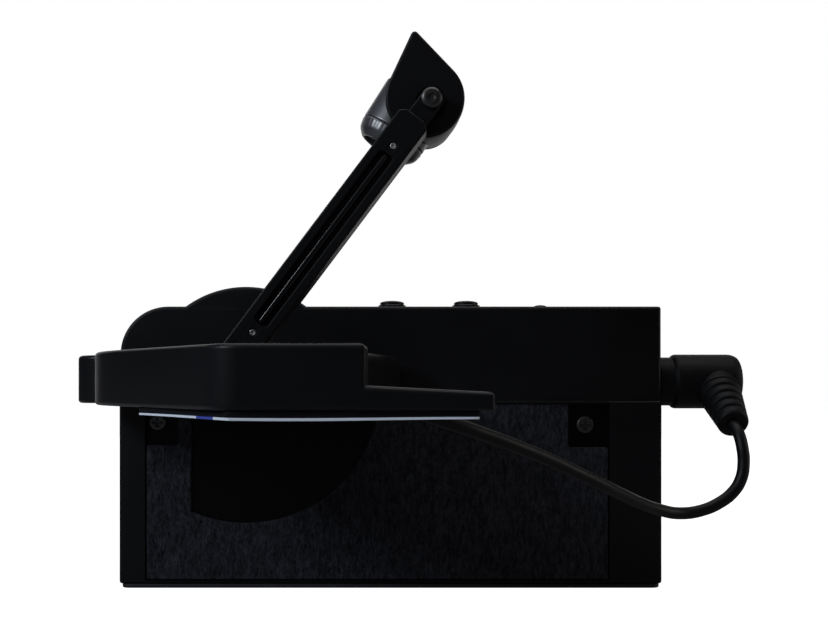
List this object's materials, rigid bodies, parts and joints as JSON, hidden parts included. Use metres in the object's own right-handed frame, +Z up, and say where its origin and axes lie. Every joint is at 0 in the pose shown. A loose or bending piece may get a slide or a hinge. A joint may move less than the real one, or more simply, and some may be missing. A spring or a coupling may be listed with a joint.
{
  "type": "document camera",
  "caption": "Compact document camera with an upright housing, a cantilevered deck, a folding arm and a tilting camera head, joined by a short looped lead.",
  "frame": {"origin": "centre of the underside of the rubber mat that the housing stands on", "axes": "+X to the right along the housing as seen from the front, +Y away from the user through the housing, +Z up"},
  "size_m": [0.1981, 0.15, 0.1493],
  "materials": {
    "housing_black": "fine matte moulded plastic with a slightly satin edge",
    "felt": "short-haired grey-black felt",
    "rubber": "soft matte rubber",
    "cord_jacket": "smooth satin cable jacket",
    "steel": "plain zinc-plated steel",
    "dark_steel": "blackened steel screws",
    "dark_metal": "black anodised aluminium sheet",
    "board": "green circuit board with solder mask",
    "gloss_black": "polished black plastic",
    "foam": "closed-cell foam",
    "white_sheet": "white release sheet with a plain blue stripe",
    "lens_glass": "coated lens glass"
  },
  "bodies": {
    "base": {"front_shell": "housing_black", "rear_cover": "housing_black", "base_mat": "rubber", "ballast_plate": "steel", "main_board": "board", "data_port": "steel", "power_port": "gloss_black", "felt_panel": "felt", "panel_screw_left": "steel", "panel_screw_right": "steel", "rear_screw_1": "dark_steel", "rear_screw_2": "dark_steel", "rear_screw_3": "dark_steel", "rear_screw_4": "dark_steel", "button_board": "board", "button_bezel_1": "gloss_black", "button_bezel_2": "gloss_black", "button_bezel_3": "gloss_black", "tact_switch_1": "gloss_black", "tact_switch_2": "gloss_black", "tact_switch_3": "gloss_black", "deck_tray": "housing_black", "deck_cover": "housing_black", "arm_cradle": "dark_metal", "foam_pad": "foam", "backing_sheet": "white_sheet", "deck_gland": "rubber", "lid_screw_1": "dark_steel", "lid_screw_2": "dark_steel", "lid_screw_3": "dark_steel", "deck_bracket": "dark_metal", "deck_bolt_1": "steel", "deck_bolt_2": "steel", "arm_pivot_pin": "steel", "pivot_washer_front": "steel", "pivot_washer_rear": "steel", "dc_jack": "gloss_black", "plug_pin": "steel", "plug_collar": "gloss_black", "plug_body": "rubber", "strain_relief": "rubber", "cord": "cord_jacket"},
    "arm": {"arm_spar": "housing_black", "arm_back_plate": "dark_metal", "arm_rib": "gloss_black", "arm_screw_lower": "steel", "arm_screw_upper": "steel", "tilt_pin": "dark_steel"},
    "head": {"head_cheek": "housing_black", "head_housing": "housing_black", "head_back_cover": "housing_black", "lens_barrel": "gloss_black", "lens_glass": "lens_glass", "sensor_board": "board"},
    "focus": {"focus_ring": "rubber"},
    "button_1": {"button_cap_1": "rubber"},
    "button_2": {"button_cap_2": "rubber"},
    "button_3": {"button_cap_3": "rubber"}
  },
  "joints": [
    {"name": "arm_fold", "type": "hinge", "parent": "base", "child": "arm", "pos_m": [-0.03974, -0.07775, 0.064], "axis": [0, 1, 0], "range_deg": [-60, 53]},
    {"name": "head_tilt", "type": "hinge", "parent": "arm", "child": "head", "pos_m": [0.01139, -0.074, 0.1319], "axis": [0, 1, 0], "range_deg": [-90, 90]},
    {"name": "focus_turn", "type": "hinge", "parent": "head", "child": "focus", "pos_m": [-0.00084, -0.0619, 0.1229], "axis": [0.5388, 0, 0.8425], "range_deg": [-90, 90]},
    {"name": "button_1_press", "type": "slide", "parent": "base", "child": "button_1", "axis": [0, 0, -1], "range_m": [0, 0.0008], "stiffness_N_per_m": 200},
    {"name": "button_2_press", "type": "slide", "parent": "base", "child": "button_2", "axis": [0, 0, -1], "range_m": [0, 0.0008], "stiffness_N_per_m": 200},
    {"name": "button_3_press", "type": "slide", "parent": "base", "child": "button_3", "axis": [0, 0, -1], "range_m": [0, 0.0008], "stiffness_N_per_m": 200}
  ]
}
